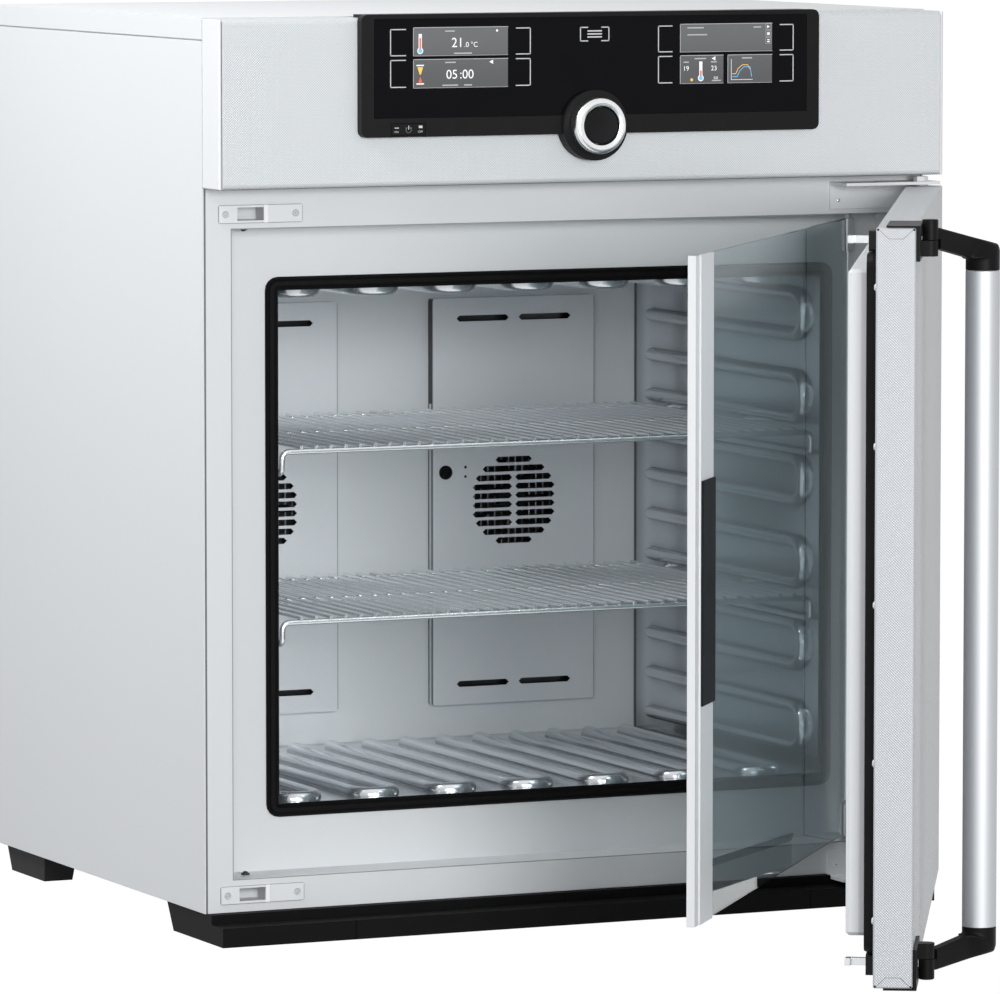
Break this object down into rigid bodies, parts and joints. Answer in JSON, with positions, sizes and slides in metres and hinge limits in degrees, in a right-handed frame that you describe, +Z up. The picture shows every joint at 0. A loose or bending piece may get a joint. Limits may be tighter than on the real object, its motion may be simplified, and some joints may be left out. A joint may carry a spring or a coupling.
{
  "type": "refrigerated incubator",
  "caption": "Free-standing refrigerated incubator, insulated door ajar over an inner glass door, ribbed steel chamber with wire shelves, fans behind slotted covers and a display console.",
  "frame": {"origin": "centre of the front plinth's underside, on the surface the incubator stands on", "axes": "+Z up, -Y out of the front where the doors are, +X to the right for someone who faces the front"},
  "size_m": [0.7515, 1.2967, 0.857],
  "materials": {
    "cabinet_paint": "satin",
    "panel_white": "satin",
    "textured_steel": "satin",
    "chamber_steel": "satin",
    "wire_steel": "polished",
    "aluminium": "satin",
    "zinc_plate": "satin",
    "chrome": "polished",
    "black_plastic": "satin",
    "display_glass": "gloss",
    "black_rubber": "matte",
    "door_glass": "gloss",
    "clip_white": "satin",
    "foam": "matte",
    "grip_satin": "satin"
  },
  "bodies": {
    "cabinet": {"left_side_panel": "cabinet_paint", "right_side_panel": "cabinet_paint", "top_cover": "cabinet_paint", "rear_panel": "cabinet_paint", "base_pan": "zinc_plate", "front_frame": "cabinet_paint", "insulation": "foam", "chamber_left_wall": "chamber_steel", "chamber_right_wall": "chamber_steel", "chamber_floor": "chamber_steel", "chamber_ceiling": "chamber_steel", "chamber_rear_wall": "chamber_steel", "chamber_gasket": "black_rubber", "left_fan_cover": "chamber_steel", "right_fan_cover": "chamber_steel", "left_heat_sink": "aluminium", "right_heat_sink": "aluminium", "outer_heat_sink": "aluminium", "rear_housing": "cabinet_paint", "mains_inlet": "black_plastic", "fascia": "textured_steel", "fascia_left_cap": "cabinet_paint", "fascia_right_cap": "cabinet_paint", "console_housing": "black_plastic", "console_glass": "display_glass", "upper_strike_plate": "zinc_plate", "lower_strike_plate": "zinc_plate", "upper_ball_catch": "chrome", "lower_ball_catch": "chrome", "upper_hinge_plate": "zinc_plate", "lower_hinge_plate": "zinc_plate", "front_plinth": "black_plastic", "rear_left_foot": "black_rubber", "rear_right_foot": "black_rubber"},
    "outer_door": {"door_shell": "textured_steel", "door_inner_panel": "panel_white", "door_gasket": "black_rubber", "upper_hook_housing": "black_plastic", "lower_hook_housing": "black_plastic", "upper_corner_plate": "black_plastic", "lower_corner_plate": "black_plastic"},
    "handle": {"handle_tube": "grip_satin", "upper_handle_arm": "black_plastic", "lower_handle_arm": "black_plastic", "upper_hook": "chrome", "lower_hook": "chrome"},
    "glass_door": {"glass_pane": "door_glass", "glass_edge_strip": "clip_white", "glass_pull": "black_plastic", "upper_glass_hinge": "clip_white", "lower_glass_hinge": "clip_white"},
    "left_fan": {"left_fan_rotor": "black_plastic"},
    "right_fan": {"right_fan_rotor": "black_plastic"},
    "left_rear_fan": {"left_rear_fan_rotor": "black_plastic"},
    "right_rear_fan": {"right_rear_fan_rotor": "black_plastic"},
    "knob": {"knob_ring": "chrome"},
    "knob_button": {"knob_cap": "black_plastic"},
    "power_button": {"power_key": "black_plastic"},
    "top_shelf": {"upper_shelf": "wire_steel"},
    "bottom_shelf": {"lower_shelf": "wire_steel"}
  },
  "joints": [
    {"name": "door_hinge", "type": "hinge", "parent": "cabinet", "child": "outer_door", "pos_m": [0.358, -0.04725, 0.357], "axis": [0, 0, 1], "range_deg": [-60.4, 59.6]},
    {"name": "glass_hinge", "type": "hinge", "parent": "cabinet", "child": "glass_door", "pos_m": [0.305, 0.00225, 0.358], "axis": [0, 0, 1], "range_deg": [-50.6, 49.9]},
    {"name": "handle_turn", "type": "hinge", "parent": "outer_door", "child": "handle", "pos_m": [0.04684, -0.65714, 0.357], "axis": [0, 0, -1], "range_deg": [-15.5, 0]},
    {"name": "left_fan_spin", "type": "hinge", "parent": "cabinet", "child": "left_fan", "pos_m": [-0.14025, 0.4161, 0.3565], "axis": [0, 1, 0], "continuous": true},
    {"name": "right_fan_spin", "type": "hinge", "parent": "cabinet", "child": "right_fan", "pos_m": [0.14025, 0.4161, 0.3565], "axis": [0, 1, 0], "continuous": true},
    {"name": "left_rear_fan_spin", "type": "hinge", "parent": "cabinet", "child": "left_rear_fan", "pos_m": [-0.14025, 0.5957, 0.3565], "axis": [0, 1, 0], "continuous": true},
    {"name": "right_rear_fan_spin", "type": "hinge", "parent": "cabinet", "child": "right_rear_fan", "pos_m": [0.14025, 0.5957, 0.3565], "axis": [0, 1, 0], "continuous": true},
    {"name": "knob_turn", "type": "hinge", "parent": "cabinet", "child": "knob", "pos_m": [0, -0.07955, 0.752], "axis": [0, -1, 0], "continuous": true},
    {"name": "knob_press", "type": "slide", "parent": "knob", "child": "knob_button", "axis": [0, 1, 0], "range_m": [0, 0.0015], "stiffness_N_per_m": 300},
    {"name": "power_press", "type": "slide", "parent": "cabinet", "child": "power_button", "axis": [0, 1, 0], "range_m": [0, 0.001], "stiffness_N_per_m": 300},
    {"name": "upper_shelf_slide", "type": "slide", "parent": "cabinet", "child": "top_shelf", "axis": [0, -1, 0], "range_m": [0, 0.05]},
    {"name": "lower_shelf_slide", "type": "slide", "parent": "cabinet", "child": "bottom_shelf", "axis": [0, -1, 0], "range_m": [0, 0.05]}
  ],
  "couplings": [
    {"joint": "glass_hinge", "follows": "door_hinge", "ratio": 0.8377}
  ]
}
